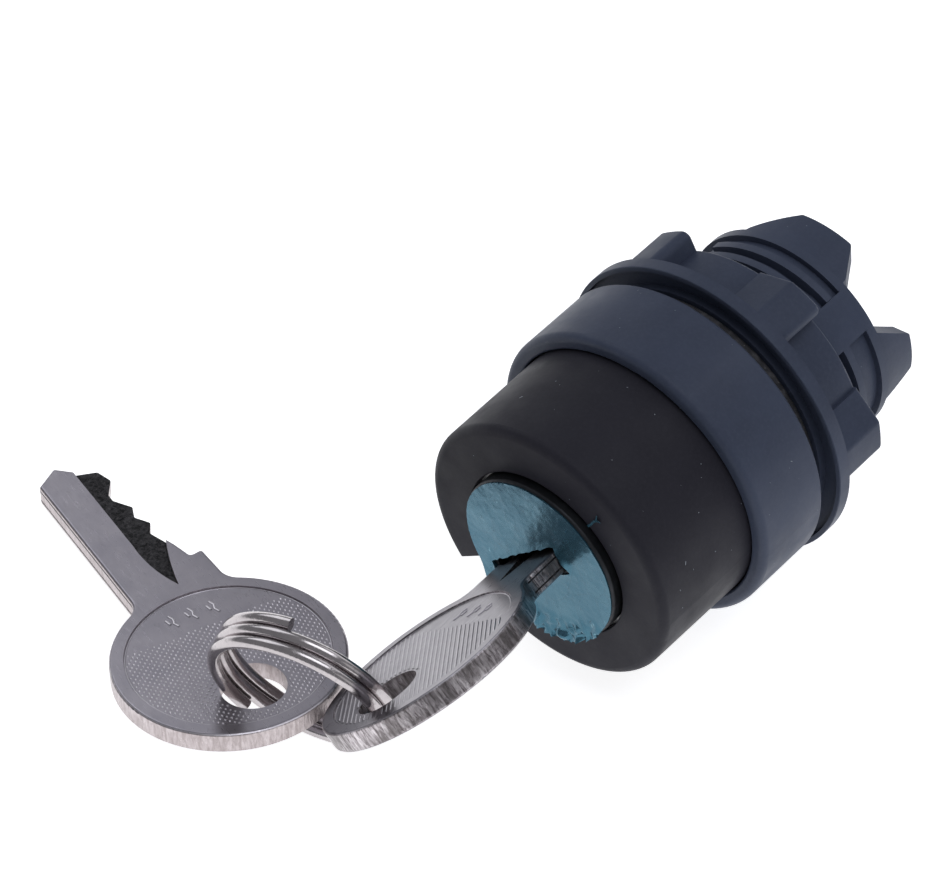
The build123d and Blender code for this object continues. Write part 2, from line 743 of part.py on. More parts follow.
def pusher(side):
    """A sprung rod with a rounded foot that rides on the cam; side is +1 or -1 along X."""
    with BuildPart() as rod:
        with BuildSketch(Plane(origin=(side * PUSHER_RADIUS, 0, 0), x_dir=(0, 1, 0), z_dir=(side, 0, 0))):
            with BuildLine():
                start = (FOOT_REAR, -FOOT_R)
                end = (FOOT_REAR, FOOT_R)
                Line(start, (FOOT_TIP + FOOT_R, -FOOT_R))
                CenterArc((FOOT_TIP + FOOT_R, 0), FOOT_R, 90, 180)
                Line((FOOT_TIP + FOOT_R, FOOT_R), end)
                Line(end, start)
            make_face()
        extrude(amount=FOOT_WIDTH / 2, both=True)
        with BuildSketch(across(ROD_END)):
            with Locations((side * PUSHER_RADIUS, 0)):
                Rectangle(ROD_SIDE, ROD_SIDE)
        extrude(amount=ROD_END - FOOT_REAR + 0.2)
    return rod


def pusher_spring(side):
    """The return spring between a pusher's foot and the guide."""
    with BuildPart() as spring:
        begin = (side * PUSHER_RADIUS, FOOT_REAR + 0.02, 0)
        spring_length = GUIDE_FRONT - FOOT_REAR - 0.04
        spring_size = (RETURN_SPRING_R, RETURN_SPRING_WIRE, RETURN_SPRING_TURNS)
        add(coil(begin, (0, 1, 0), spring_length, *spring_size))
    return spring


for side, side_name in ((-1, "left"), (1, "right")):
    save(pusher(side), f"pusher_{side_name}")
    save(pusher_spring(side), f"pusher_spring_{side_name}")

with BuildPart() as pusher_guide:
    with BuildSketch(across(GUIDE_REAR)):
        Circle(BARREL_BORE_R - 0.03)
        Circle(GUIDE_HOLE_R, mode=Mode.SUBTRACT)
        with Locations((-PUSHER_RADIUS, 0), (PUSHER_RADIUS, 0)):
            Rectangle(ROD_SIDE + 2 * ROD_GAP, ROD_SIDE + 2 * ROD_GAP, mode=Mode.SUBTRACT)
    extrude(amount=GUIDE_REAR - GUIDE_FRONT)
    chamfer(pusher_guide.edges().filter_by(GeomType.CIRCLE).group_by(Axis.Y)[-1], length=0.2)
save(pusher_guide, "pusher_guide")


# ---- keys --------------------------------------------------------------------------------------------
FACE_RECESS_R = 9.0
FACE_RECESS = 0.15
MILL_DEPTH = 0.5
MILL_TOP = 0.6
MILL_FROM = 16.5
MILL_REACH = 32.0
NECK_FILLET = 2.0


def make_key(place):
    """A flat key centred on its bow; local x runs to the tip, y to the back, z out of one face."""
    half = KEY_THICKNESS / 2

    def local(shape):
        return place.to_local_coords(shape.center())

    with BuildPart() as key:
        with BuildSketch(place.offset(-half)):
            with BuildLine():
                blade = FilletPolyline(
                    (2.0, BLADE_BACK),
                    (29.0, BLADE_BACK),
                    (30.7, 1.9),
                    (29.3, 0.4),
                    (28.7, -1.5),
                    (27.0, -2.0),
                    (25.2, -0.9),
                    (24.3, -0.9),
                    (22.6, -2.0),
                    (21.2, -1.5),
                    (19.8, -2.4),
                    (18.5, -1.7),
                    (15.6, -2.7),
                    (SHOULDER - 0.2, -3.2),
                    (SHOULDER, -4.4),
                    (2.0, -4.9),
                    radius=0.3,
                )
                Line(blade @ 1, blade @ 0)
            make_face()
            Circle(BOW_R)
        extrude(amount=KEY_THICKNESS)
        upright = [e for e in key.edges() if abs(local(e).Z) < 0.01]
        neck = [e for e in upright if 7 < local(e).X < 11.5 and 3.5 < abs(local(e).Y) < 5.5]
        fillet(neck, radius=NECK_FILLET)
        bow_edges = [e for e in key.edges().filter_by(GeomType.CIRCLE) if abs(e.radius - BOW_R) < 0.01]
        fillet([e for e in bow_edges if abs(local(e).Z) > 0.5], radius=0.25)
        with BuildSketch(place.offset(-half - 1)):
            with Locations((-HOLE_SHIFT, 0)):
                Circle(HOLE_R)
        extrude(amount=KEY_THICKNESS + 2, mode=Mode.SUBTRACT)
        for face_side in (1, -1):
            outer = place.offset(face_side * (half - FACE_RECESS))
            with BuildSketch(outer):
                Circle(FACE_RECESS_R)
            extrude(amount=face_side * (FACE_RECESS + 1), mode=Mode.SUBTRACT)
            step = place.offset(face_side * (half - MILL_DEPTH))
            with BuildSketch(step):
                with BuildLine():
                    mill_line = Line((MILL_REACH, MILL_TOP), (MILL_FROM + 0.5, MILL_TOP))
                    mill_curve = ThreePointArc(mill_line @ 1, (13.4, 0.4), (10.4, -0.5))
                    mill_edge = ThreePointArc(mill_curve @ 1, (14.0, -1.4), (MILL_FROM, -2.3))
                    Polyline(mill_edge @ 1, (MILL_FROM, -6), (MILL_REACH, -6), mill_line @ 0)
                make_face()
            extrude(amount=face_side * (MILL_DEPTH + 1), mode=Mode.SUBTRACT)
    return key


inserted_along = Vector(0, 1, 0) * cos(radians(KEY_DROOP)) + SLOT_NORMAL * sin(radians(KEY_DROOP))
inserted_normal = Vector(0, 1, 0) * sin(radians(KEY_DROOP)) - SLOT_NORMAL * cos(radians(KEY_DROOP))
mouth_point = Vector(0, LOCK_FACE, 0) + SLOT_DIR * KEY_SIDE_SHIFT + SLOT_NORMAL * KEY_MID_OFFSET
inserted_plane = Plane(
    origin=mouth_point - inserted_along * BOW_FROM_FACE,
    x_dir=inserted_along,
    z_dir=inserted_normal,
)
save(make_key(inserted_plane), "key_inserted")

spare_plane = Plane(origin=SPARE_CENTRE, x_dir=SPARE_ALONG, z_dir=SPARE_NORMAL)
save(make_key(spare_plane), "key_spare")


# ---- split ring ------------------------------------------------------------------------------------------
ring_axis = Vector(*RING_AXIS).normalized()
ring_level = Vector(0, 0, 1).cross(ring_axis).normalized()
ring_steep = ring_axis.cross(ring_level)
ring_height = RING_PITCH * RING_TURNS
helix_plane = Plane(
    origin=Vector(*RING_CENTRE) - ring_axis * (ring_height / 2),
    x_dir=ring_level * cos(radians(RING_START)) + ring_steep * sin(radians(RING_START)),
    z_dir=ring_axis,
)
wire_path = Edge.make_helix(pitch=RING_PITCH, height=ring_height, radius=RING_R)
wire_path = wire_path.moved(helix_plane.location)
with BuildPart() as split_ring:
    with BuildSketch(Plane(origin=wire_path @ 0, z_dir=wire_path % 0)):
        Circle(WIRE_R)
    sweep(path=wire_path, is_frenet=True)
save(split_ring, "split_ring")
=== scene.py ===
"""The looks of the key selector head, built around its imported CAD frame.

Lengths are in metres, in the frame's axes: the lock axis is Y, the front looks along -Y and +Z is up.
Sizes of fine relief are written in millimetres and turned into metres with MM.
"""

import json
import random
from math import atan2, ceil, cos, hypot, pi, radians, sin, sqrt, tau

import bpy
from mathutils import Matrix, Vector, geometry, noise


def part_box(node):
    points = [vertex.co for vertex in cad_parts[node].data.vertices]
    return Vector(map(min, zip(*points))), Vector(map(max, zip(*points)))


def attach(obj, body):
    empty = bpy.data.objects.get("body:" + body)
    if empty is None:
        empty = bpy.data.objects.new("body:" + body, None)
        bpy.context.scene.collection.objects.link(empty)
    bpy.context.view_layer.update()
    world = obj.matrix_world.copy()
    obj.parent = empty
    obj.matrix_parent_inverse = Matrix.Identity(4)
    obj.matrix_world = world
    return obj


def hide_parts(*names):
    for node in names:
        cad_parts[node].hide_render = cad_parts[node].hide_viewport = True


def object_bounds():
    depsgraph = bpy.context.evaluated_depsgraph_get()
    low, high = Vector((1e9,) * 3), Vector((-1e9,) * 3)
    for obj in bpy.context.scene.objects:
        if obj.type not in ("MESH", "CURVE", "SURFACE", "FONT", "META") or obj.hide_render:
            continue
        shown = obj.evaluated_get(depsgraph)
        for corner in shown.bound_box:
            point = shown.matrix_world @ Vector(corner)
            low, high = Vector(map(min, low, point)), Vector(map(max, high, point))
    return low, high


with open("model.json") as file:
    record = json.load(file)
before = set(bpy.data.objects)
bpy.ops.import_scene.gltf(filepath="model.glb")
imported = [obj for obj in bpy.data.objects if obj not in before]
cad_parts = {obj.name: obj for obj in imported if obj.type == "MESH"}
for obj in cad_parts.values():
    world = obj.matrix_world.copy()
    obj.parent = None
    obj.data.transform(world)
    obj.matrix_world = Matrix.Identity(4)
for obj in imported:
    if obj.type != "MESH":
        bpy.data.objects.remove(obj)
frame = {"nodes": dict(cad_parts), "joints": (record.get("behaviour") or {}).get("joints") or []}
cad_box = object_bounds()
nodes = frame["nodes"]
joints = {j["name"]: j for j in frame["joints"]}

MM = 0.001
EDGE_FROM, EDGE_TO = 0.5, 0.62

FLOOR_SIZE = 3.0
FLOOR_GAP = 0.0001
CAMERA_LENS = 164.5
CAMERA_PLACE = (147.6, -199.7, 282.4)

# Colours of the keys' nickel plate, and of the painted light laid on it.
PLATE_DARK = (0.275, 0.260, 0.292)
PLATE_PALE = (0.325, 0.305, 0.335)
SCUFF = (0.21, 0.198, 0.212)
STROKE_DARK = (0.17, 0.15, 0.155)
STROKE_MID = (0.50, 0.46, 0.48)
STROKE_PALE = (0.86, 0.82, 0.84)
CHATTER = (0.16, 0.145, 0.145)
SMOOTH_EDGE = (0.50, 0.435, 0.43)
# The pale crest colour below is a painted highlight on the raised relief tops, standing in for their glints;
# partly it is also polish from wear.
CREST_HIGHLIGHT = (0.74, 0.71, 0.75)
# The two cut colours below are painted shade for the milled cut zone, not the plate's own colour.
CUT_SHADE_DARK = (0.010, 0.010, 0.011)
CUT_SHADE_PALE = (0.085, 0.082, 0.087)

# Heights on a key above its middle plane, and places along it, in millimetres.
CUT_LEVELS = (0.43, 0.46, 0.56, 0.66)
CREST_LEVELS = (0.875, 0.90, 0.955, 0.97)
CUTS_FROM = 10.0
BOW_TO = 9.0


# ---- node helpers -----------------------------------------------------------------
class Shader:
    """A small builder for one procedural material. Coordinates are the object's own, in millimetres."""

    def __init__(self, name):
        self.material = bpy.data.materials.new(name)
        self.material.use_nodes = True
        self.tree = self.material.node_tree
        self.tree.nodes.clear()
        self.out = self.tree.nodes.new("ShaderNodeOutputMaterial")
        self.surface = self.tree.nodes.new("ShaderNodeBsdfPrincipled")
        self.link(self.surface.outputs[0], self.out.inputs["Surface"])
        self.coords = self.tree.nodes.new("ShaderNodeTexCoord").outputs["Object"]

    def link(self, source, target):
        self.tree.links.new(source, target)

    def feed(self, socket, value):
        """Link a socket's value, or set a plain one."""
        if isinstance(value, bpy.types.NodeSocket):
            self.link(value, socket)
        else:
            socket.default_value = value

    def set(self, **values):
        """Principled inputs by name, with underscores for spaces."""
        for key, value in values.items():
            self.feed(self.surface.inputs[key.replace("_", " ")], value)
        return self

    def placed(self, scale=(1, 1, 1), rotation=(0, 0, 0)):
        """Object coordinates in millimetres, then scaled and turned."""
        node = self.tree.nodes.new("ShaderNodeMapping")
        node.inputs["Scale"].default_value = [s / MM for s in scale]
        node.inputs["Rotation"].default_value = rotation
        self.link(self.coords, node.inputs["Vector"])
        return node.outputs[0]

    def noise(self, size, detail=3.0, rough=0.55, vector=None, distortion=0.0):
        """Noise whose features are about size millimetres."""
        node = self.tree.nodes.new("ShaderNodeTexNoise")
        node.inputs["Scale"].default_value = 1 / size
        node.inputs["Detail"].default_value = detail
        node.inputs["Roughness"].default_value = rough
        node.inputs["Distortion"].default_value = distortion
        self.link(vector or self.placed(), node.inputs["Vector"])
        return node.outputs["Fac"]

    def cells(self, size, vector=None, feature="F1"):
        """Distance to the nearest point or, by feature, edge of cells of about size millimetres."""
        node = self.tree.nodes.new("ShaderNodeTexVoronoi")
        node.feature = feature
        node.inputs["Scale"].default_value = 1 / size
        self.link(vector or self.placed(), node.inputs["Vector"])
        return node.outputs["Distance"]

    def ramp(self, value, *stops):
        """A colour ramp from (position, colour or grey level) stops."""
        node = self.tree.nodes.new("ShaderNodeValToRGB")
        elements = node.color_ramp.elements
        while len(elements) < len(stops):
            elements.new(0.5)
        for element, (position, colour) in zip(elements, stops):
            element.position = position
            grey = not isinstance(colour, (tuple, list))
            element.color = (colour, colour, colour, 1) if grey else (*colour, 1)
        self.link(value, node.inputs[0])
        return node.outputs[0]

    def band(self, value, start, full, fade, end):
        """White between full and fade, and black outside start and end."""
        return self.ramp(value, (start, 0.0), (full, 1.0), (fade, 1.0), (end, 0.0))

    def vector_math(self, operation, a, b):
        node = self.tree.nodes.new("ShaderNodeVectorMath")
        node.operation = operation
        self.feed(node.inputs[0], a)
        self.feed(node.inputs[1], b)
        return node.outputs["Value" if operation == "DOT_PRODUCT" else "Vector"]

    def in_frame(self, origin, along, across, out):
        """Coordinates in millimetres in a piece's own frame, as (along, across, out)."""
        node = self.tree.nodes.new("ShaderNodeMapping")
        turn = Matrix((along, across, out))
        node.inputs["Location"].default_value = -(turn @ origin) / MM
        node.inputs["Rotation"].default_value = turn.to_euler()
        node.inputs["Scale"].default_value = (1 / MM, 1 / MM, 1 / MM)
        self.link(self.coords, node.inputs["Vector"])
        return node.outputs[0]

    def parts(self, vector):
        """The three numbers of a vector."""
        node = self.tree.nodes.new("ShaderNodeSeparateXYZ")
        self.link(vector, node.inputs[0])
        return node.outputs

    def facing(self, direction):
        """How squarely the surface faces along or against a fixed direction of the piece."""
        normal = self.tree.nodes.new("ShaderNodeTexCoord").outputs["Normal"]
        return self.math("ABSOLUTE", self.vector_math("DOT_PRODUCT", normal, tuple(direction)))

    def math(self, operation, a, b=0.0):
        node = self.tree.nodes.new("ShaderNodeMath")
        node.operation = operation
        self.feed(node.inputs[0], a)
        self.feed(node.inputs[1], b)
        return node.outputs[0]

    def mix(self, factor, a, b, mode="MIX"):
        """Colour a, then b laid over it by factor."""
        node = self.tree.nodes.new("ShaderNodeMix")
        node.data_type = "RGBA"
        node.blend_type = mode
        self.feed(node.inputs["Factor"], factor)
        for socket, value in ((node.inputs[6], a), (node.inputs[7], b)):
            self.feed(socket, (*value, 1) if isinstance(value, tuple) else value)
        return node.outputs[2]

    def bump(self, height, distance, strength=1.0, under=None):
        """A bump of distance millimetres, laid on an earlier one."""
        node = self.tree.nodes.new("ShaderNodeBump")
        node.inputs["Distance"].default_value = distance * MM
        node.inputs["Strength"].default_value = strength
        self.link(height, node.inputs["Height"])
        if under is not None:
            self.link(under, node.inputs["Normal"])
        return node.outputs[0]

    def edges(self):
        """White along the mesh's convex edges."""
        node = self.tree.nodes.new("ShaderNodeNewGeometry")
        return self.ramp(node.outputs["Pointiness"], (EDGE_FROM, 0.0), (EDGE_TO, 1.0))


def moulded(name, colour, pale, roughness, speck_share, mottling=0.12, gloss=0.3):
    """Dull moulded plastic: mottled, finely textured, with dust specks and paler worn edges."""
    s = Shader(name)
    broad = s.noise(9.0, 4.0, 0.6)
    fine = s.noise(0.35, 3.0, 0.6)
    dark = tuple(c * (1 - mottling) for c in colour)
    light = tuple(c * (1 + mottling) for c in colour)
    base = s.mix(s.ramp(broad, (0.32, 0.0), (0.68, 1.0)), dark, light)
    base = s.mix(s.ramp(fine, (0.45, 0.0), (0.75, 0.22)), base, pale)
    specks = s.ramp(s.cells(1.15), (0.0, 1.0), (speck_share, 0.9), (speck_share * 1.35, 0.0))
    some = s.ramp(s.noise(2.6, 1.0), (0.52, 0.0), (0.60, 1.0))
    dust = s.math("MULTIPLY", specks, some)
    base = s.mix(s.math("MULTIPLY", dust, 0.55), base, (0.30, 0.36, 0.42))
    base = s.mix(s.math("MULTIPLY", s.edges(), 0.35), base, pale)
    rough = s.ramp(s.noise(3.0, 3.0), (0.3, roughness - 0.06), (0.7, roughness + 0.08))
    grain = s.bump(fine, 0.012, 0.6)
    waves = s.bump(s.noise(5.0, 2.0), 0.05, 0.25, under=grain)
    s.set(Base_Color=base, Roughness=rough, Normal=waves)
    s.set(IOR=1.46, Specular_IOR_Level=gloss)
    return s.material


def rubber(name, colour, dusty):
    """Dull rubber with dust caught in it."""
    s = Shader(name)
    fluff = s.ramp(s.noise(1.1, 5.0, 0.7), (0.47, 0.0), (0.72, 1.0))
    grit = s.ramp(s.cells(0.7), (0.0, 1.0), (0.13, 0.0))
    base = s.mix(s.math("MULTIPLY", fluff, dusty), colour, (0.12, 0.12, 0.13))
    base = s.mix(s.math("MULTIPLY", grit, dusty), base, (0.22, 0.22, 0.22))
    height = s.bump(s.noise(0.5, 4.0, 0.65), 0.06, 0.7)
    s.set(Base_Color=base, Roughness=s.ramp(fluff, (0.0, 0.62), (1.0, 0.92)), Normal=height)
    s.set(IOR=1.5)
    return s.material


def metal(name, colour, tint, roughness, strokes=(1.0, 1.0, 1.0), stroke_size=0.5, depth=0.01):
    """Plain metal with fine drawn or milled strokes along the narrow axes of strokes."""
    s = Shader(name)
    lines = s.noise(stroke_size, 3.0, 0.6, s.placed(strokes))
    cloud = s.noise(2.5, 3.0, 0.6)
    tarnish = s.ramp(s.noise(0.9, 4.0, 0.65), (0.58, 0.0), (0.74, 0.5))
    base = s.mix(s.ramp(cloud, (0.35, 0.0), (0.7, 1.0)), colour, tint)
    base = s.mix(tarnish, base, tuple(c * 0.6 for c in tint))
    rough = s.ramp(lines, (0.3, roughness - 0.06), (0.75, roughness + 0.12))
    s.set(Base_Color=base, Roughness=rough, Normal=s.bump(lines, depth, 0.6))
    s.set(Metallic=1.0)
    return s.material


def key_metal(name, key, chatter_depth, tone, highlight_share, smooth_share):
    """Nickel plate: fine strokes on the flats, coarse milled strokes on the edges and in the cut zone, with
    painted shade in the cut zone and a painted highlight on the bow's relief tops.
    """
    s = Shader(name)
    local = s.in_frame(key.origin, key.along, key.across, key.out)
    flat = s.ramp(s.facing(key.out), (0.35, 0.0), (0.75, 1.0))
    height = s.math("ABSOLUTE", s.parts(local)[2])
    reach = s.parts(local)[0]
    sunk = s.band(height, *CUT_LEVELS)
    cut_zone = s.math("MULTIPLY", sunk, s.math("GREATER_THAN", reach, CUTS_FROM))
    # The raised relief tops on the bow get a painted highlight, partly also polish from wear.
    crest_highlight = s.band(height, *CREST_LEVELS)
    crest_highlight = s.math("MULTIPLY", crest_highlight, s.math("LESS_THAN", reach, BOW_TO))
    drawn = s.noise(0.16, 3.0, 0.6, s.vector_math("MULTIPLY", local, (0.12, 1.0, 1.0)))
    milled = s.noise(0.30, 4.0, 0.7, s.vector_math("MULTIPLY", local, (1.0, 1.0, 0.22)), 0.6)
    chatter = s.noise(1.6, 3.0, 0.6, s.vector_math("MULTIPLY", local, (1.0, 1.0, 0.5)))
    coarse = s.noise(0.35, 4.0, 0.7, local, 0.4)
    cloud = s.ramp(s.noise(3.0, 4.0, 0.6), (0.32, 0.0), (0.68, 1.0))
    base = s.mix(cloud, PLATE_DARK, PLATE_PALE)
    rubbed = s.noise(0.5, 5.0, 0.7, s.vector_math("MULTIPLY", local, (0.6, 1.0, 1.0)), 1.0)
    scuffs = s.ramp(rubbed, (0.60, 0.0), (0.70, 0.6))
    base = s.mix(scuffs, base, SCUFF)
    strokes = s.ramp(milled, (0.40, STROKE_DARK), (0.52, STROKE_MID), (0.70, STROKE_PALE))
    shade = s.ramp(chatter, (0.38, 1.0 - chatter_depth), (0.58, 1.0))
    edge_tone = s.mix(shade, CHATTER, strokes)
    edge_tone = s.mix(smooth_share, edge_tone, SMOOTH_EDGE)
    base = s.mix(flat, edge_tone, s.mix(1.0, base, (tone, tone, tone), "MULTIPLY"))
    base = s.mix(s.math("MULTIPLY", crest_highlight, highlight_share), base, CREST_HIGHLIGHT)
    # The cut zone is painted near black as shade, mottled by the coarse milling noise.
    painted_cut_shade = s.ramp(coarse, (0.38, CUT_SHADE_DARK), (0.72, CUT_SHADE_PALE))
    base = s.mix(cut_zone, base, painted_cut_shade)
    rough = s.ramp(drawn, (0.3, 0.26), (0.75, 0.40))
    rough = s.math("ADD", rough, s.math("MULTIPLY", cut_zone, 0.2))
    grain = s.bump(drawn, 0.004, 0.5)
    chop = s.math("MULTIPLY", milled, s.math("SUBTRACT", 1.0, flat))
    cut = s.bump(chop, 0.10, 0.7, under=grain)
    pits = s.bump(s.math("MULTIPLY", coarse, cut_zone), 0.16, 0.9, under=cut)
    s.set(Base_Color=base, Roughness=rough, Normal=pits, Metallic=1.0)
    return s.material


def foil(name):
    """Glossy teal protective film: creased, scratched and smudged, with painted shade along its creases."""
    s = Shader(name)
    broad = s.ramp(s.noise(3.2, 4.0, 0.6), (0.34, 0.0), (0.66, 1.0))
    fine = s.noise(0.8, 4.0, 0.6, s.placed((1.0, 1.0, 0.7)), 1.2)
    crease = s.cells(2.4, s.placed((1.0, 1.0, 0.7), (0.0, 0.5, 0.0)), "DISTANCE_TO_EDGE")
    nicked = s.noise(0.9, 4.0, 0.65, s.placed((1.0, 1.0, 0.5), (0.0, 0.4, 0.0)), 2.6)
    nicks = s.ramp(nicked, (0.66, 0.0), (0.70, 1.0))
    base = s.mix(broad, (0.052, 0.150, 0.212), (0.070, 0.178, 0.240))
    # Darker along the creases: painted shade in the folds.
    base = s.mix(s.ramp(crease, (0.0, 0.35), (0.03, 0.0)), base, (0.05, 0.12, 0.165))
    base = s.mix(s.math("MULTIPLY", nicks, 0.75), base, (0.035, 0.075, 0.10))
    scratched = s.noise(0.7, 3.0, 0.5, s.placed((1.0, 1.0, 0.5), (0.0, -0.7, 0.0)), 2.0)
    pale = s.ramp(scratched, (0.72, 0.0), (0.75, 0.6))
    base = s.mix(pale, base, (0.22, 0.42, 0.50))
    folds = s.bump(crease, 0.10, 0.25)
    skin = s.bump(fine, 0.05, 0.35, under=folds)
    s.set(Base_Color=base, Roughness=s.ramp(fine, (0.3, 0.17), (0.7, 0.30)), Normal=skin)
    s.set(Metallic=0.75, Specular_IOR_Level=0.4)
    return s.material


def fleck(name, colour):
    """Dry dust and lint."""
    s = Shader(name)
    tone = s.noise(0.1, 2.0, 0.5)
    base = s.mix(tone, tuple(c * 0.7 for c in colour), colour)
    s.set(Base_Color=base, Roughness=s.ramp(tone, (0.0, 0.8), (1.0, 0.95)))
    s.set(Normal=s.bump(tone, 0.01, 0.5))
    return s.material


def dress(node_names, material):
    """Give carried-over CAD nodes a material."""
    for name in node_names:
        for material_slot in nodes[name].material_slots:
            material_slot.material = material


# ---- stage, light and camera ---------------------------------------------------------
def aim(thing, target):
    """Turn a light so that it shines on a point."""
    direction = Vector(target) - thing.location
    thing.rotation_euler = direction.to_track_quat("-Z", "Y").to_euler()


def make_camera():
    """The camera stands to the right of the front and looks down on it."""
    camera_data = bpy.data.cameras.new("camera")
    camera_data.sensor_width = 36
    camera_data.lens = CAMERA_LENS
    camera = bpy.data.objects.new("camera", camera_data)
    right = Vector((0.7567, 0.6538, 0.0))
    up = Vector((-0.4938, 0.5715, 0.6553))
    back = Vector((0.4283, -0.4960, 0.7552))
    turn = Matrix((right, up, back)).transposed().to_4x4()
    camera.matrix_world = Matrix.Translation(Vector(CAMERA_PLACE) * MM) @ turn
    bpy.context.scene.collection.objects.link(camera)
    bpy.context.scene.camera = camera


def softbox(name, place, size, power, colour=(1, 1, 1), target=(-0.01, -0.02, 0)):
    """A rectangular light that faces the object."""
    data = bpy.data.lights.new(name, "AREA")
    data.shape = "RECTANGLE"
    data.size, data.size_y = size
    data.energy = power
    data.color = colour
    light = bpy.data.objects.new(name, data)
    light.location = place
    aim(light, target)
    bpy.context.scene.collection.objects.link(light)


def make_stage():
    """A plain white floor under the lowest point of the object, grey surroundings and large softboxes."""
    low = cad_box[0]
    bpy.ops.mesh.primitive_plane_add(size=FLOOR_SIZE, location=(0, 0, low[2] - FLOOR_GAP))
    floor = bpy.context.object
    floor.name = "floor"
    s = Shader("floor_paper")
    s.set(Base_Color=(0.86, 0.86, 0.865, 1), Roughness=0.9, Specular_IOR_Level=0.1)
    s.set(Emission_Color=(1, 1, 1, 1), Emission_Strength=0.82)
    floor.data.materials.append(s.material)

    world = bpy.data.worlds.new("studio")
    world.use_nodes = True
    world.node_tree.nodes["Background"].inputs[0].default_value = (0.90, 0.91, 0.96, 1)
    world.node_tree.nodes["Background"].inputs[1].default_value = 0.27
    bpy.context.scene.world = world

    softbox("left_box", (-0.50, 0.15, 0.42), (0.45, 0.45), 0.80, (0.93, 0.96, 1.0))
    softbox("rear_box", (0.12, 0.55, 0.38), (0.5, 0.35), 0.38, (0.95, 0.97, 1.0))
    softbox("top_box", (0.16, 0.04, 0.60), (0.4, 0.4), 1.1, (0.93, 0.95, 1.0))
    softbox("right_box", (0.62, -0.02, 0.30), (0.35, 0.35), 0.15)


# ---- meshes from outlines -------------------------------------------------------------
def inside(point, outline):
    """Whether a point lies inside a closed outline."""
    x, y = point
    hit = False
    for (x1, y1), (x2, y2) in zip(outline, outline[1:] + outline[:1]):
        if (y1 > y) != (y2 > y) and x < (x2 - x1) * (y - y1) / (y2 - y1) + x1:
            hit = not hit
    return hit


def circle_outline(radius, count, wobble=None):
    """Points round a circle, each moved outward by wobble(angle)."""
    points = []
    for i in range(count):
        angle = tau * i / count
        reach = radius + (wobble(angle) if wobble else 0.0)
        points.append((reach * cos(angle), reach * sin(angle)))
    return points


JITTER = 0.15
WELD = 1e-7


def fill_sheet(outline, holes, spacing, seed):
    """Triangles that fill an outline around its holes, with jittered points about spacing apart."""
    rng = random.Random(seed)
    points = []
    edges = []
    for loop in [outline] + holes:
        first = len(points)
        points += loop
        edges += [(first + i, first + (i + 1) % len(loop)) for i in range(len(loop))]
    xs = [p[0] for p in outline]
    ys = [p[1] for p in outline]
    row_step = spacing * sqrt(3) / 2
    rows = ceil((max(ys) - min(ys)) / row_step)
    columns = ceil((max(xs) - min(xs)) / spacing)
    for row in range(rows):
        for column in range(columns):
            x = min(xs) + (column + 0.5 * (row % 2)) * spacing + rng.uniform(-JITTER, JITTER) * spacing
            y = min(ys) + row * row_step + rng.uniform(-JITTER, JITTER) * spacing
            if inside((x, y), outline) and not any(inside((x, y), hole) for hole in holes):
                points.append((x, y))
    corners = [Vector(p) for p in points]
    vertices, _, faces, *_ = geometry.delaunay_2d_cdt(corners, edges, [], 0, WELD)
    kept = []
    for face in faces:
        centre = sum((vertices[i] for i in face), Vector((0, 0))) / len(face)
        if inside(centre, outline) and not any(inside(centre, hole) for hole in holes):
            kept.append(list(face))
    return [tuple(v) for v in vertices], kept


def mesh_object(name, vertices, faces, material, smooth):
    """One mesh object from plain lists."""
    mesh = bpy.data.meshes.new(name)
    mesh.from_pydata([tuple(v) for v in vertices], [], faces)
    mesh.validate()
    mesh.materials.append(material)
    if smooth:
        mesh.polygons.foreach_set("use_smooth", [True] * len(mesh.polygons))
    mesh.update()
    thing = bpy.data.objects.new(name, mesh)
    bpy.context.scene.collection.objects.link(thing)
    return thing


class Piece:
    """Vertices and faces gathered into one mesh."""

    def __init__(self):
        self.vertices = []
        self.faces = []

    def add(self, vertices, faces):
        first = len(self.vertices)
        self.vertices += vertices
        self.faces += [[first + i for i in face] for face in faces]

    def finish(self, name, material, body, smooth=True):
        thing = mesh_object(name, self.vertices, self.faces, material, smooth)
        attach(thing, body)
        return thing


class KeyFrame:
    """A key frame: origin at the centre of the bow, along to the tip, across to the back, out of one face."""

    def __init__(self, hole, along, out):
        self.out = out.normalized()
        self.along = (along - self.out * along.dot(self.out)).normalized()
        self.across = self.out.cross(self.along)
        self.origin = hole + self.along * HOLE_SHIFT * MM

    def at(self, x, y, z):
        return self.origin + (self.along * x + self.across * y + self.out * z) * MM


# ---- relief on the keys --------------------------------------------------------------------
HOLE_SHIFT = 4.55
TIP_BEARING = 0.0538
FACE_LEVEL = 0.85
FACE_R = 8.72
HOLE_RIM = 3.15
PLAIN_FROM = 4.4
RIB_STEP = 0.46
RIB_BEARING = radians(-48)
RIB_POINT_STEP = 0.15
RIB_HALF = 0.135
RIB_HEIGHT = 0.06
DOT_SHARE = 0.94
DOT_HALF = 0.17
DOT_HEIGHT = 0.085
RIM_R = 8.86
RIM_HALF = 0.10
RIM_HEIGHT = 0.05
MARK_HALF = 0.16
MARK_HEIGHT = 0.09


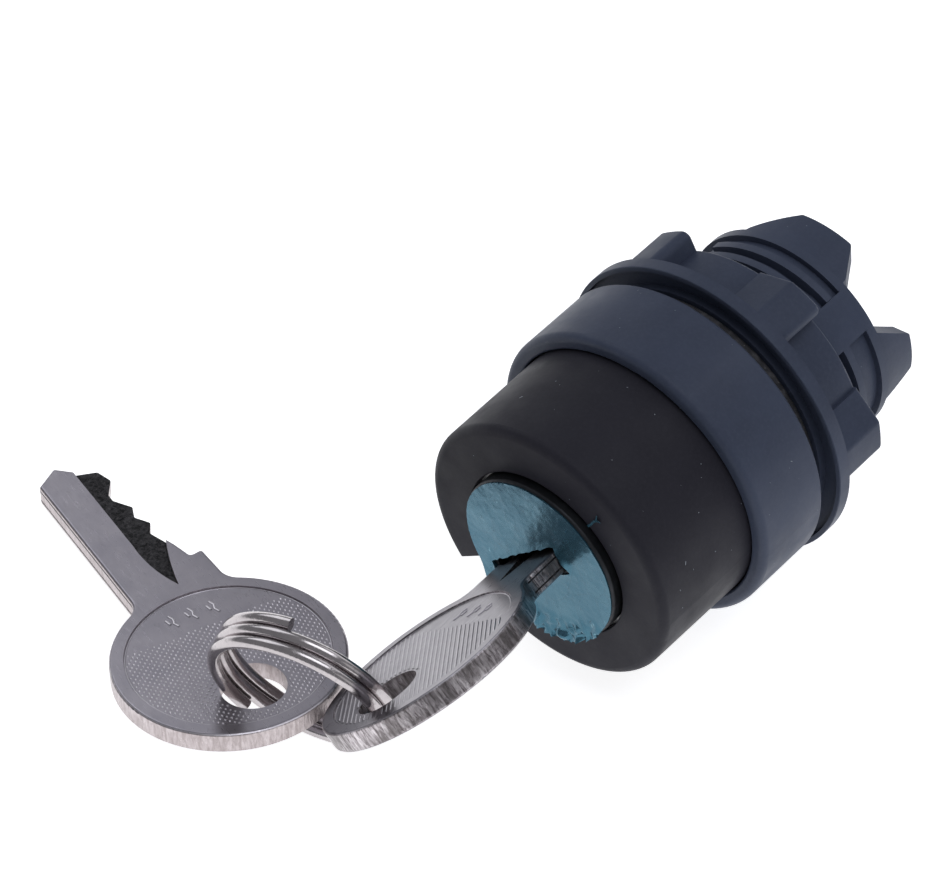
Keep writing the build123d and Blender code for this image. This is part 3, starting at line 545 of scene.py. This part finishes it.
def ridge(piece, key, side, path, half_width, height, closed=False):
    """A rounded bead along a path on one face of a key."""
    count = len(path)
    rings = []
    for i, (x, y) in enumerate(path):
        before = path[(i - 1) % count] if closed or i > 0 else path[i]
        after = path[(i + 1) % count] if closed or i < count - 1 else path[i]
        dx, dy = after[0] - before[0], after[1] - before[1]
        span = hypot(dx, dy) or 1.0
        nx, ny = -dy / span, dx / span
        ring = []
        for shift, lift in ((-1.0, -0.03), (-0.5, 0.75), (0.5, 0.75), (1.0, -0.03)):
            z = side * (FACE_LEVEL + (lift * height if lift > 0 else lift))
            ring.append(key.at(x + nx * shift * half_width, y + ny * shift * half_width, z))
        rings.append(ring)
    vertices = [v for ring in rings for v in ring]
    faces = []
    for i in range(count if closed else count - 1):
        a, b = 4 * i, 4 * ((i + 1) % count)
        for k in range(3):
            quad = [a + k, b + k, b + k + 1, a + k + 1]
            faces.append(quad if side > 0 else quad[::-1])
    piece.add(vertices, faces)


def in_field(x, y):
    """Whether a point lies in the patterned field of the bow's face."""
    return hypot(x, y) < FACE_R and hypot(x + HOLE_SHIFT, y) > HOLE_RIM and x < PLAIN_FROM


def add_dots(piece, key, rng):
    """Small pyramids on a diagonal grid over the patterned field."""
    steps = ceil(2 * FACE_R / RIB_STEP)
    for row in range(-steps, steps + 1):
        for column in range(-steps, steps + 1):
            u, v = column * RIB_STEP * DOT_SHARE, row * RIB_STEP * DOT_SHARE
            x = u * cos(RIB_BEARING) - v * sin(RIB_BEARING)
            y = u * sin(RIB_BEARING) + v * cos(RIB_BEARING)
            if not in_field(x, y):
                continue
            half = DOT_HALF + rng.uniform(-0.015, 0.015)
            tall = DOT_HEIGHT + rng.uniform(-0.02, 0.01)
            base = [(half, 0.0), (0.0, half), (-half, 0.0), (0.0, -half)]
            crown = [(px * 0.35, py * 0.35) for px, py in base]
            corners = [key.at(x + px, y + py, FACE_LEVEL - 0.02) for px, py in base]
            corners += [key.at(x + px, y + py, FACE_LEVEL + tall) for px, py in crown]
            sides = [[k, (k + 1) % 4, 4 + (k + 1) % 4, 4 + k] for k in range(4)]
            piece.add(corners, sides + [[4, 5, 6, 7]])


def add_ribs(piece, key, rng):
    """Straight diagonal ribs over the patterned field of the other face."""
    count = ceil(FACE_R / RIB_STEP)
    for index in range(-count, count + 1):
        v = index * RIB_STEP
        run = []
        u = -FACE_R
        while u < FACE_R:
            x = u * cos(RIB_BEARING) - v * sin(RIB_BEARING)
            y = u * sin(RIB_BEARING) + v * cos(RIB_BEARING)
            if in_field(x, y):
                run.append((x, y))
            if run and (not in_field(x, y) or u + RIB_POINT_STEP >= FACE_R):
                if len(run) > 2:
                    ends = [run[0]] + run[3:-3:4] + [run[-1]]
                    height = RIB_HEIGHT + rng.uniform(-0.008, 0.008)
                    ridge(piece, key, -1, ends, RIB_HALF, height)
                run = []
            u += RIB_POINT_STEP


MARK_CENTRES = ((6.45, 2.0), (6.55, 0.1), (6.4, -1.9))
MARK_BAR = ((-0.85, -0.10), (-0.35, 0.12), (0.20, -0.08), (0.75, 0.14))
MARK_TICK = ((-0.30, 0.45), (0.35, 0.60))


def key_relief(name, key, body, material, seed):
    """The raised pattern, rim and plain marks on both faces of a key's bow."""
    rng = random.Random(seed)
    piece = Piece()
    add_dots(piece, key, rng)
    add_ribs(piece, key, rng)
    for side in (1, -1):
        ridge(piece, key, side, circle_outline(RIM_R, 96), RIM_HALF, RIM_HEIGHT, closed=True)
        for x, y in MARK_CENTRES:
            for stroke in (MARK_BAR, MARK_TICK):
                path = [(x + dx, y + dy) for dx, dy in stroke]
                ridge(piece, key, side, path, MARK_HALF, MARK_HEIGHT)
    piece.finish(name, material, body)


# ---- film on the lock's face -----------------------------------------------------------------
face_low, face_high = (Vector(c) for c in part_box("face_film"))
film_centre = (face_low + face_high) / 2
FACE_Y = face_high.y
FILM_R = (face_high.x - face_low.x) / 2 / MM + 0.20
SLOT_CLOCK = radians(46.5)
SLOT_LOW, SLOT_HIGH = -6.35, 3.20
SLOT_NEAR, SLOT_FAR = -1.80, 0.95
TEAR_CLOCK = radians(-68)
TEAR_HALF = radians(42)
FILM_SPACING = 0.26
SLIT_STEP = 0.45
LEAST_LIFT = 0.04


def tear(angle):
    """How much of the torn edge is present at a clock angle, from 0 to 1."""
    off = abs((angle - TEAR_CLOCK + pi) % tau - pi) / TEAR_HALF
    return max(0.0, 1.0 - off * off)


def film_reach(angle):
    """How far the film's edge stands out from its plain circle, in millimetres."""
    ragged = noise.noise(Vector((cos(angle) * 9, sin(angle) * 9, 3.0)))
    frayed = noise.noise(Vector((cos(angle) * 30, sin(angle) * 30, 8.0)))
    return 0.04 * frayed + tear(angle) * (0.42 + 0.50 * ragged + 0.30 * frayed)


def film_lift(x, z):
    """Height of the film above the lock's face, in millimetres."""
    soft = noise.noise(Vector((x * 0.35, z * 0.35, 1.0)))
    crinkle = 1.0 - abs(noise.noise(Vector((x * 0.9, z * 1.5, 4.0)))) * 2.0
    fine = noise.noise(Vector((x * 3.1, z * 3.1, 7.0)))
    lift = 0.11 + 0.03 * soft + 0.035 * max(0.0, crinkle - 0.55) + 0.012 * fine
    radius = hypot(x, z)
    lumps = 0.5 + noise.noise(Vector((x * 1.6, z * 1.6, 11.0)))
    lift += tear(atan2(z, x)) * max(0.0, radius - 5.8) * 0.34 * lumps
    a = x * cos(SLOT_CLOCK) + z * sin(SLOT_CLOCK)
    b = -x * sin(SLOT_CLOCK) + z * cos(SLOT_CLOCK)
    pushed = hypot(max(0.0, a - SLOT_HIGH + 0.4) * 1.1, (b + 0.4) * 0.75)
    lift += 0.55 * max(0.0, 1.0 - pushed / 1.7) ** 2
    return max(LEAST_LIFT, lift)


def slot_outline(rng):
    """The ragged slit round the key, in the film's plane."""
    near = [(SLOT_LOW, SLOT_NEAR), (SLOT_HIGH, SLOT_NEAR)]
    far = [(SLOT_HIGH, SLOT_FAR), (SLOT_LOW, SLOT_FAR)]
    corners = near + far
    points = []
    for (a1, b1), (a2, b2) in zip(corners, corners[1:] + corners[:1]):
        steps = ceil(hypot(a2 - a1, b2 - b1) / SLIT_STEP)
        for i in range(steps):
            a = a1 + (a2 - a1) * i / steps + rng.uniform(-0.06, 0.06)
            b = b1 + (b2 - b1) * i / steps + rng.uniform(-0.08, 0.08)
            x = a * cos(SLOT_CLOCK) - b * sin(SLOT_CLOCK)
            z = a * sin(SLOT_CLOCK) + b * cos(SLOT_CLOCK)
            points.append((x, z))
    return points


def film_point(x, z, lift):
    """A point lift millimetres in front of the lock's face."""
    return Vector((film_centre.x + x * MM, FACE_Y - lift * MM, film_centre.z + z * MM))


def skirt(piece, loop):
    """A strip from the film's edge down to the face."""
    top = [film_point(x, z, film_lift(x, z)) for x, z in loop]
    foot = [film_point(x, z, -0.01) for x, z in loop]
    count = len(loop)
    pairs = [(i, (i + 1) % count) for i in range(count)]
    piece.add(top + foot, [[a, b, count + b, count + a] for a, b in pairs])


def make_film(material):
    """The wrinkled sheet with its torn edge and the slit round the key."""
    rng = random.Random(5)
    outline = circle_outline(FILM_R, 190, wobble=film_reach)
    slit = slot_outline(rng)
    flat, faces = fill_sheet(outline, [slit], FILM_SPACING, 7)
    piece = Piece()
    piece.add([film_point(x, z, film_lift(x, z)) for x, z in flat], faces)
    skirt(piece, outline)
    skirt(piece, slit)
    thing = piece.finish("film_on_face", material, "rotor")
    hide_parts("face_film")


SCRAP_SIDE_A = ((-1.15, -0.10), (-0.70, -0.16), (-0.20, -0.08), (0.35, -0.16), (0.75, -0.42), (0.85, -0.30))
SCRAP_FORK = ((0.60, -0.02), (1.20, 0.28), (1.10, 0.36), (0.40, 0.12))
SCRAP_SIDE_B = SCRAP_FORK + ((-0.15, 0.12), (-0.70, 0.05), (-1.10, 0.10))
SCRAP_SPACING = 0.12
SCRAP_CLOCK = radians(58.0)
SCRAP_R = 9.75


def make_scrap(material):
    """A forked scrap of the same film, stuck to the housing's face."""
    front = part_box("lock_housing")[0][1] - 0.02 * MM
    flat, faces = fill_sheet(list(SCRAP_SIDE_A + SCRAP_SIDE_B), [], SCRAP_SPACING, 3)
    points = []
    for outward, aside in flat:
        x = (SCRAP_R + outward) * cos(SCRAP_CLOCK) - aside * sin(SCRAP_CLOCK)
        z = (SCRAP_R + outward) * sin(SCRAP_CLOCK) + aside * cos(SCRAP_CLOCK)
        points.append(Vector((x * MM, front - (0.05 + 0.12 * abs(outward)) * MM, z * MM)))
    piece = Piece()
    piece.add(points, faces)
    piece.finish("film_scrap", material, "head")


# ---- dust ------------------------------------------------------------------------------------
FLECK_SIZES = (0.018, 0.022, 0.03, 0.045)
FLECK_STRETCH = (1.0, 1.0, 1.6, 4.0)
FLECK_LIFT = 0.015


def make_dust(name, material, radius, y_from, y_to, count, seed):
    """Flecks and short hairs lying on a round outer wall."""
    rng = random.Random(seed)
    piece = Piece()
    for _ in range(count):
        clock = rng.uniform(0, tau)
        y = rng.uniform(y_from, y_to)
        size = rng.choice(FLECK_SIZES)
        length = size * rng.choice(FLECK_STRETCH)
        heading = rng.uniform(0, pi)
        front = [(-length, -size), (length, -size * 0.6)]
        back = [(length * 0.8, size), (-length * 0.7, size * 0.7)]
        corners = []
        for dx, dy in front + back:
            u = dx * cos(heading) - dy * sin(heading)
            v = dx * sin(heading) + dy * cos(heading)
            angle = clock + u / radius
            reach = (radius + FLECK_LIFT) * MM
            corners.append(Vector((reach * cos(angle), (y + v) * MM, reach * sin(angle))))
        piece.add(corners, [[0, 3, 2, 1]])
    piece.finish(name, material, "head", smooth=False)


make_camera()
make_stage()

SLATE = (0.047, 0.058, 0.092)
BLACK = (0.0205, 0.0200, 0.0275)
slate = moulded("slate_plastic", SLATE, (0.075, 0.088, 0.128), 0.46, 0.035, gloss=0.16)
black = moulded("black_plastic", BLACK, (0.036, 0.035, 0.045), 0.50, 0.040, gloss=0.14)
gasket = rubber("gasket_rubber", (0.022, 0.022, 0.026), 0.75)
seal = rubber("seal_rubber", (0.012, 0.012, 0.013), 0.2)
zinc = metal("zinc_casting", (0.42, 0.42, 0.43), (0.5, 0.5, 0.5), 0.34, (1, 1, 1), 0.4)
dark_zinc = metal("near_black_zinc", (0.030, 0.032, 0.036), (0.045, 0.047, 0.052), 0.45, (1, 1, 1), 0.4)
brass = metal("wafer_brass", (0.66, 0.50, 0.25), (0.6, 0.46, 0.25), 0.3, (1, 8, 1), 0.8)
wire = metal("spring_wire", (0.55, 0.55, 0.57), (0.5, 0.5, 0.5), 0.25)
bright = metal("ring_nickel", (0.52, 0.485, 0.49), (0.44, 0.41, 0.42), 0.17, (1, 1, 1), 0.3, 0.004)
acetal = moulded("white_acetal", (0.70, 0.70, 0.66), (0.8, 0.8, 0.78), 0.4, 0.02, 0.03)
teal = foil("teal_film")
lint = fleck("dust", (0.30, 0.33, 0.38))

inserted_hole = Vector(joints["ring_swing"]["pos_m"])
inserted_out = Vector(joints["ring_swing"]["axis"])
inserted = KeyFrame(inserted_hole, -Vector(joints["key_withdraw"]["axis"]), inserted_out)
spare_hole = Vector(joints["spare_key_swing"]["pos_m"])
spare_out = Vector(joints["spare_key_swing"]["axis"])
spare_tip = max((v.co for v in nodes["key_spare"].data.vertices), key=lambda co: (co - spare_hole).length)
spare_along = Matrix.Rotation(-TIP_BEARING, 3, spare_out) @ (spare_tip - spare_hole)
spare = KeyFrame(spare_hole, spare_along, spare_out)
inserted_nickel = key_metal("inserted_key_nickel", inserted, 0.85, 0.66, 0.22, 0.0)
spare_nickel = key_metal("spare_key_nickel", spare, 0.35, 0.95, 0.65, 0.62)

dress(["bezel_ring", "body_barrel", "fixing_nut"], slate)
dress(["lock_housing", "pusher_guide"], black)
dress(["panel_gasket"], gasket)
dress(["housing_seal", "plug_seal"], seal)
dress(["lock_cylinder_shell"], zinc)
# The lock plug is given near-black metal.
dress(["lock_plug"], dark_zinc)
dress(["wafer_tumblers"], brass)
dress(["wafer_springs", "detent_spring", "pusher_spring_left", "pusher_spring_right"], wire)
dress(["plug_retaining_clip", "cam_screw", "detent_plunger"], wire)
dress(["cam_drum", "pusher_left", "pusher_right"], acetal)
dress(["key_inserted"], inserted_nickel)
dress(["key_spare"], spare_nickel)
dress(["split_ring"], bright)
dress(["face_film"], teal)

key_relief("inserted_key_relief", inserted, "key", inserted_nickel, 21)
key_relief("spare_key_relief", spare, "spare", spare_nickel, 22)
make_film(teal)
make_scrap(teal)
make_dust("housing_dust", lint, 13.0, -18.2, -8.4, 46, 31)
make_dust("bezel_dust", lint, 14.5, -7.0, -0.4, 30, 32)

bpy.context.scene.view_settings.view_transform = "Standard"
